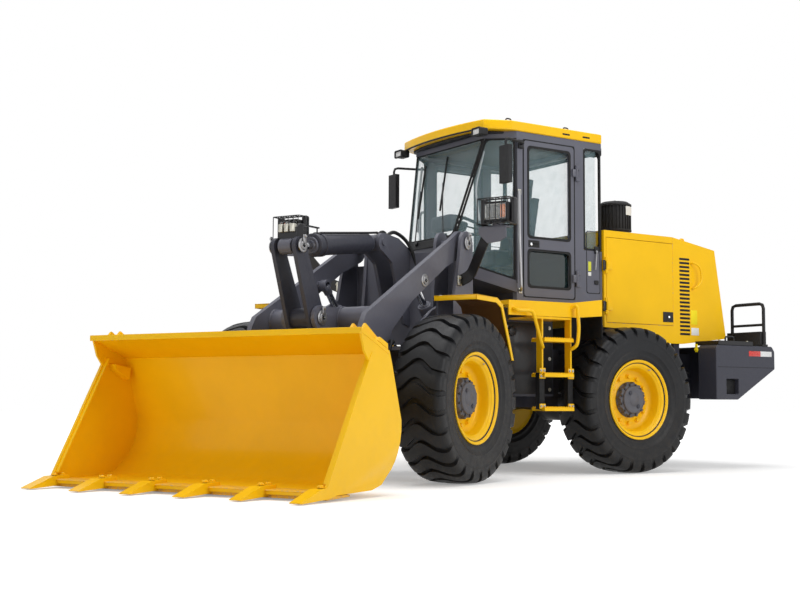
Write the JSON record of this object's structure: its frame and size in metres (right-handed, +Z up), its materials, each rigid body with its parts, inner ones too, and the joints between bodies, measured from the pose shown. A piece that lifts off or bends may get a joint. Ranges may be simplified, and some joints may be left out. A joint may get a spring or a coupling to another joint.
{
  "type": "wheel loader",
  "caption": "Articulated wheel loader, parked with its front frame turned left, with a toothed bucket on a Z-bar linkage, a glazed cab and a rear engine hood.",
  "frame": {"origin": "middle of the footprint of the whole machine as parked, on the ground", "axes": "+X forward along the rear frame, +Y to the left, +Z up; the front frame is turned 25 degrees to the left of +X"},
  "size_m": [7.4584, 3.9522, 3.2123],
  "materials": {
    "tyre_rubber": "matte",
    "glass": "gloss",
    "seat_fabric": "matte",
    "chrome_rod": "polished",
    "yellow_paint": "gloss",
    "charcoal_paint": "satin",
    "black_paint": "satin",
    "lamp_housing": "gloss",
    "engine_iron": "matte"
  },
  "bodies": {
    "rear_frame": {"rear_frame": "charcoal_paint", "rear_axle": "black_paint", "engine_block": "engine_iron", "counterweight": "charcoal_paint", "hood": "yellow_paint", "air_precleaner": "black_paint", "cab_shell": "charcoal_paint", "cab_roof": "yellow_paint", "windscreen": "glass", "rear_window": "glass", "seat_base": "black_paint", "seat_cushion": "seat_fabric", "seat_back": "seat_fabric", "steering_column": "black_paint", "left_quarter_window": "glass", "left_deck": "yellow_paint", "left_mirror": "black_paint", "left_tail_lamp": "black_paint", "right_quarter_window": "glass", "right_deck": "yellow_paint", "right_mirror": "black_paint", "right_tail_lamp": "black_paint"},
    "left_battery_lid": {"left_battery_lid": "black_paint"},
    "left_hood_door": {"left_hood_door": "yellow_paint"},
    "left_cab_door": {"left_cab_door": "charcoal_paint", "left_door_window": "glass"},
    "left_rear_wheel": {"left_rear_tyre": "tyre_rubber", "left_rear_rim": "yellow_paint"},
    "left_steering_cylinder_barrel": {"left_steering_cylinder_barrel": "charcoal_paint"},
    "left_steering_cylinder_rod": {"left_steering_cylinder_rod": "chrome_rod"},
    "right_battery_lid": {"right_battery_lid": "black_paint"},
    "right_hood_door": {"right_hood_door": "yellow_paint"},
    "right_cab_door": {"right_cab_door": "charcoal_paint", "right_door_window": "glass"},
    "right_rear_wheel": {"right_rear_tyre": "tyre_rubber", "right_rear_rim": "yellow_paint"},
    "right_steering_cylinder_barrel": {"right_steering_cylinder_barrel": "charcoal_paint"},
    "right_steering_cylinder_rod": {"right_steering_cylinder_rod": "chrome_rod"},
    "rear_grille_door": {"rear_grille_door": "yellow_paint"},
    "front_frame": {"front_frame": "charcoal_paint", "front_axle": "black_paint", "left_front_fender": "yellow_paint", "left_headlamp": "lamp_housing", "right_front_fender": "yellow_paint", "right_headlamp": "lamp_housing"},
    "boom": {"boom": "charcoal_paint"},
    "bell_crank": {"bell_crank": "charcoal_paint"},
    "bucket": {"bucket": "yellow_paint"},
    "bucket_link": {"bucket_link": "charcoal_paint"},
    "tilt_cylinder_barrel": {"tilt_cylinder_barrel": "charcoal_paint"},
    "tilt_cylinder_rod": {"tilt_cylinder_rod": "chrome_rod"},
    "left_front_wheel": {"left_front_tyre": "tyre_rubber", "left_front_rim": "yellow_paint"},
    "left_lift_cylinder_barrel": {"left_lift_cylinder_barrel": "charcoal_paint"},
    "left_lift_cylinder_rod": {"left_lift_cylinder_rod": "chrome_rod"},
    "right_front_wheel": {"right_front_tyre": "tyre_rubber", "right_front_rim": "yellow_paint"},
    "right_lift_cylinder_barrel": {"right_lift_cylinder_barrel": "charcoal_paint"},
    "right_lift_cylinder_rod": {"right_lift_cylinder_rod": "chrome_rod"}
  },
  "joints": [
    {"name": "articulation", "type": "hinge", "parent": "rear_frame", "child": "front_frame", "pos_m": [-0.2932, -0.77906, 0], "axis": [0, 0, 1], "range_deg": [-62, 12]},
    {"name": "boom_lift", "type": "hinge", "parent": "front_frame", "child": "boom", "pos_m": [0.21524, -0.54197, 2.033], "axis": [0.4226, -0.9063, 0], "range_deg": [0, 82]},
    {"name": "bucket_tilt", "type": "hinge", "parent": "boom", "child": "bucket", "pos_m": [1.95445, 0.26903, 0.235], "axis": [-0.4226, 0.9063, 0], "range_deg": [-38, 127]},
    {"name": "bell_crank_turn", "type": "hinge", "parent": "boom", "child": "bell_crank", "pos_m": [1.62817, 0.11689, 1.3], "axis": [-0.4226, 0.9063, 0], "range_deg": [-48.76, 14.94]},
    {"name": "bucket_link_turn", "type": "hinge", "parent": "bucket", "child": "bucket_link", "pos_m": [2.01336, 0.2965, 0.61], "axis": [-0.4226, 0.9063, 0], "range_deg": [-83.05, 25.2]},
    {"name": "tilt_barrel_turn", "type": "hinge", "parent": "front_frame", "child": "tilt_cylinder_barrel", "pos_m": [0.7128, -0.30996, 2.015], "axis": [0.4226, -0.9063, 0], "range_deg": [-0.5, 105.87]},
    {"name": "tilt_rod_slide", "type": "slide", "parent": "tilt_cylinder_barrel", "child": "tilt_cylinder_rod", "axis": [0.8984, 0.4189, -0.1319], "range_m": [-0.002, 0.0428]},
    {"name": "left_lift_barrel_turn", "type": "hinge", "parent": "front_frame", "child": "left_lift_cylinder_barrel", "pos_m": [-0.14707, -0.2122, 0.76], "axis": [0.4226, -0.9063, 0], "range_deg": [-0.5, 23.46]},
    {"name": "left_lift_rod_slide", "type": "slide", "parent": "left_lift_cylinder_barrel", "child": "left_lift_cylinder_rod", "axis": [0.6114, 0.2851, 0.7381], "range_m": [-0.002, 0.7443]},
    {"name": "right_lift_barrel_turn", "type": "hinge", "parent": "front_frame", "child": "right_lift_cylinder_barrel", "pos_m": [0.23497, -1.0315, 0.76], "axis": [0.4226, -0.9063, 0], "range_deg": [-0.5, 23.46]},
    {"name": "right_lift_rod_slide", "type": "slide", "parent": "right_lift_cylinder_barrel", "child": "right_lift_cylinder_rod", "axis": [0.6114, 0.2851, 0.7381], "range_m": [-0.002, 0.7443]},
    {"name": "left_steering_barrel_turn", "type": "hinge", "parent": "rear_frame", "child": "left_steering_cylinder_barrel", "pos_m": [-0.8932, -0.49406, 0.72], "axis": [0, 0, 1], "range_deg": [-16.93, 3.68]},
    {"name": "left_steering_rod_slide", "type": "slide", "parent": "left_steering_cylinder_barrel", "child": "left_steering_cylinder_rod", "axis": [0.9968, 0.08, 0], "range_m": [-0.0589, 0.2962]},
    {"name": "right_steering_barrel_turn", "type": "hinge", "parent": "rear_frame", "child": "right_steering_cylinder_barrel", "pos_m": [-0.8932, -1.06406, 0.72], "axis": [0, 0, 1], "range_deg": [-17.49, 3.79]},
    {"name": "right_steering_rod_slide", "type": "slide", "parent": "right_steering_cylinder_barrel", "child": "right_steering_cylinder_rod", "axis": [0.9878, 0.1554, 0], "range_m": [-0.2849, 0.0567]},
    {"name": "left_front_wheel_spin", "type": "hinge", "parent": "front_frame", "child": "left_front_wheel", "pos_m": [0.55996, 0.69456, 0.674], "axis": [-0.4226, 0.9063, 0], "continuous": true},
    {"name": "right_front_wheel_spin", "type": "hinge", "parent": "front_frame", "child": "right_front_wheel", "pos_m": [1.38406, -1.07274, 0.674], "axis": [-0.4226, 0.9063, 0], "continuous": true},
    {"name": "left_rear_wheel_spin", "type": "hinge", "parent": "rear_frame", "child": "left_rear_wheel", "pos_m": [-1.7542, 0.19594, 0.674], "axis": [0, 1, 0], "continuous": true},
    {"name": "right_rear_wheel_spin", "type": "hinge", "parent": "rear_frame", "child": "right_rear_wheel", "pos_m": [-1.7542, -1.75406, 0.674], "axis": [0, 1, 0], "continuous": true},
    {"name": "left_cab_door_swing", "type": "hinge", "parent": "rear_frame", "child": "left_cab_door", "pos_m": [-1.3682, -0.02406, 2.3], "axis": [0, 0, 1], "range_deg": [0, 90]},
    {"name": "left_hood_door_swing", "type": "hinge", "parent": "rear_frame", "child": "left_hood_door", "pos_m": [-1.7302, -0.00406, 1.75], "axis": [0, 0, -1], "range_deg": [0, 80]},
    {"name": "left_battery_lid_lift", "type": "hinge", "parent": "rear_frame", "child": "left_battery_lid", "pos_m": [-3.1432, -0.00406, 1.2603], "axis": [1, 0, 0], "range_deg": [0, 75]},
    {"name": "right_cab_door_swing", "type": "hinge", "parent": "rear_frame", "child": "right_cab_door", "pos_m": [-1.3682, -1.53406, 2.3], "axis": [0, 0, -1], "range_deg": [0, 90]},
    {"name": "right_hood_door_swing", "type": "hinge", "parent": "rear_frame", "child": "right_hood_door", "pos_m": [-1.7302, -1.55406, 1.75], "axis": [0, 0, 1], "range_deg": [0, 80]},
    {"name": "right_battery_lid_lift", "type": "hinge", "parent": "rear_frame", "child": "right_battery_lid", "pos_m": [-3.1432, -1.55406, 1.2603], "axis": [-1, 0, 0], "range_deg": [0, 75]},
    {"name": "rear_grille_door_lift", "type": "hinge", "parent": "rear_frame", "child": "rear_grille_door", "pos_m": [-3.24646, -0.77906, 2.124], "axis": [0, 1, 0], "range_deg": [0, 75]}
  ],
  "couplings": [
    {"joint": "bell_crank_turn", "follows": "bucket_tilt", "ratio": -0.38},
    {"joint": "bucket_link_turn", "follows": "bucket_tilt", "ratio": -0.65},
    {"joint": "tilt_barrel_turn", "follows": "boom_lift", "ratio": 1.285},
    {"joint": "tilt_rod_slide", "follows": "boom_lift", "m_per_rad": 0.0285},
    {"joint": "left_lift_barrel_turn", "follows": "boom_lift", "ratio": 0.28},
    {"joint": "left_lift_rod_slide", "follows": "boom_lift", "m_per_rad": 0.5187},
    {"joint": "right_lift_barrel_turn", "follows": "boom_lift", "ratio": 0.28},
    {"joint": "right_lift_rod_slide", "follows": "boom_lift", "m_per_rad": 0.5187},
    {"joint": "left_steering_barrel_turn", "follows": "articulation", "ratio": 0.265},
    {"joint": "left_steering_rod_slide", "follows": "articulation", "m_per_rad": -0.2719},
    {"joint": "right_steering_barrel_turn", "follows": "articulation", "ratio": 0.274},
    {"joint": "right_steering_rod_slide", "follows": "articulation", "m_per_rad": 0.2614}
  ]
}
